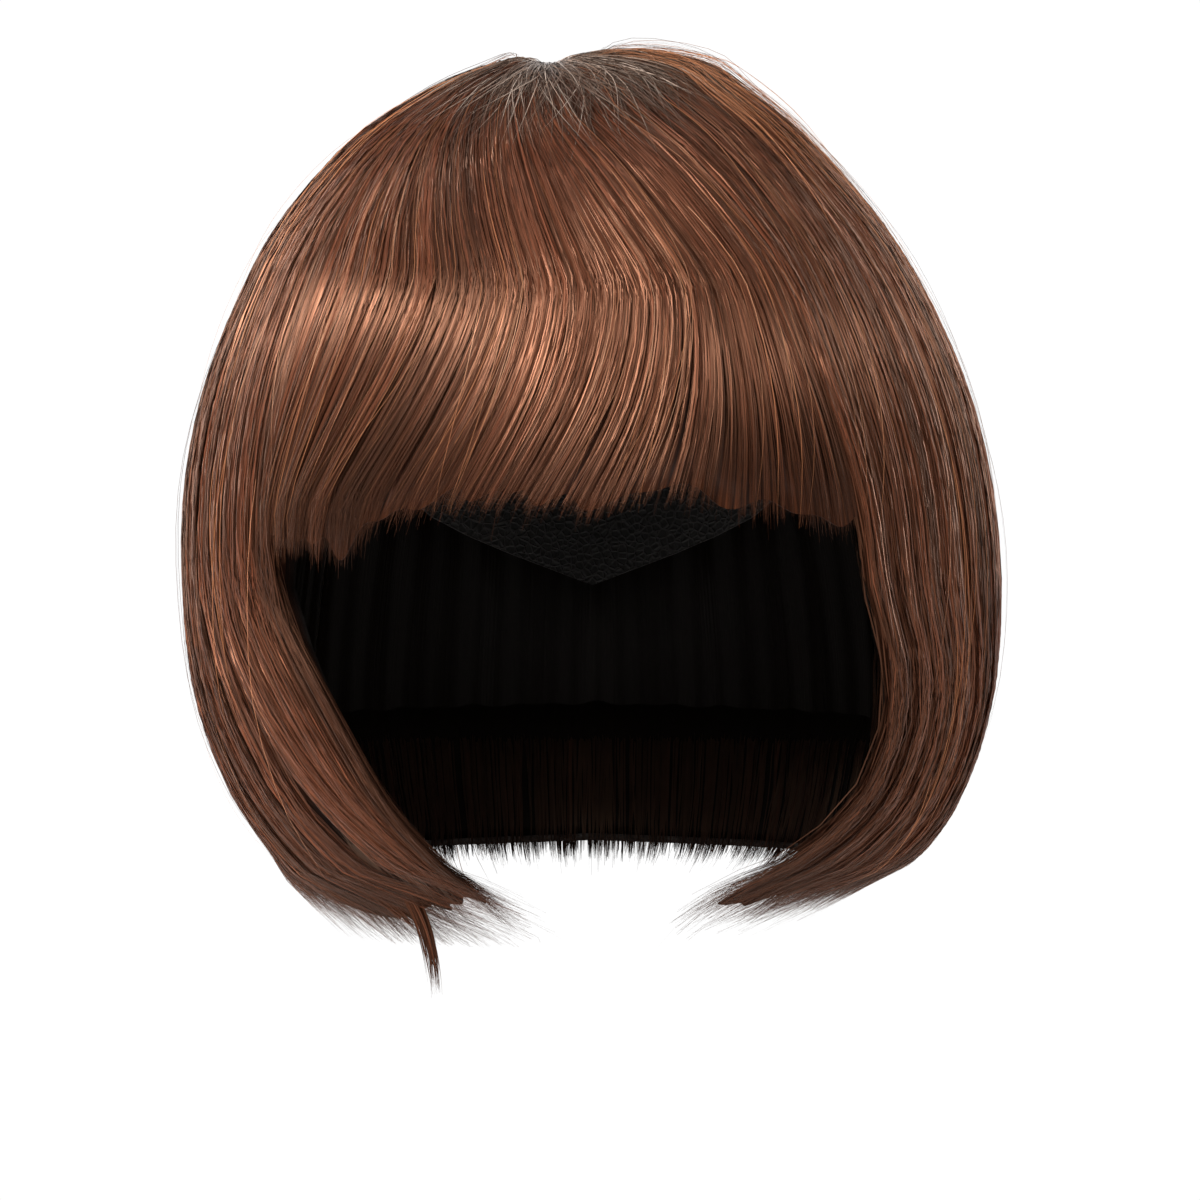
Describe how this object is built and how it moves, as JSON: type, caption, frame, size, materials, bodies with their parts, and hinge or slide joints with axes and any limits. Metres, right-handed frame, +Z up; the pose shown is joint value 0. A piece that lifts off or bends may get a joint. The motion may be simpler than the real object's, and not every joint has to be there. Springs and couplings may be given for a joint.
{
  "type": "bob wig",
  "caption": "Chin-length bob wig with a full fringe and an off-centre parting, hair in layers sewn on a stretch cap that is open below and in front.",
  "frame": {"origin": "inside top of the cap, where the wearer's crown sits", "axes": "+Z up, -Y the way the wearer faces, +X the wearer's left"},
  "size_m": [0.2258, 0.2284, 0.2568],
  "materials": {
    "top_hair": "smooth auburn hair fibre with a satin sheen",
    "under_hair": "darker auburn hair fibre",
    "cap_net": "matt black stretch net",
    "parting_lace": "matt lace with tied roots"
  },
  "bodies": {
    "root": {"cap": "cap_net", "parting_patch": "parting_lace", "fringe": "top_hair", "side_left": "top_hair", "side_right": "top_hair", "back": "top_hair", "under_left": "under_hair", "under_right": "under_hair", "under_back": "under_hair"}
  },
  "joints": []
}
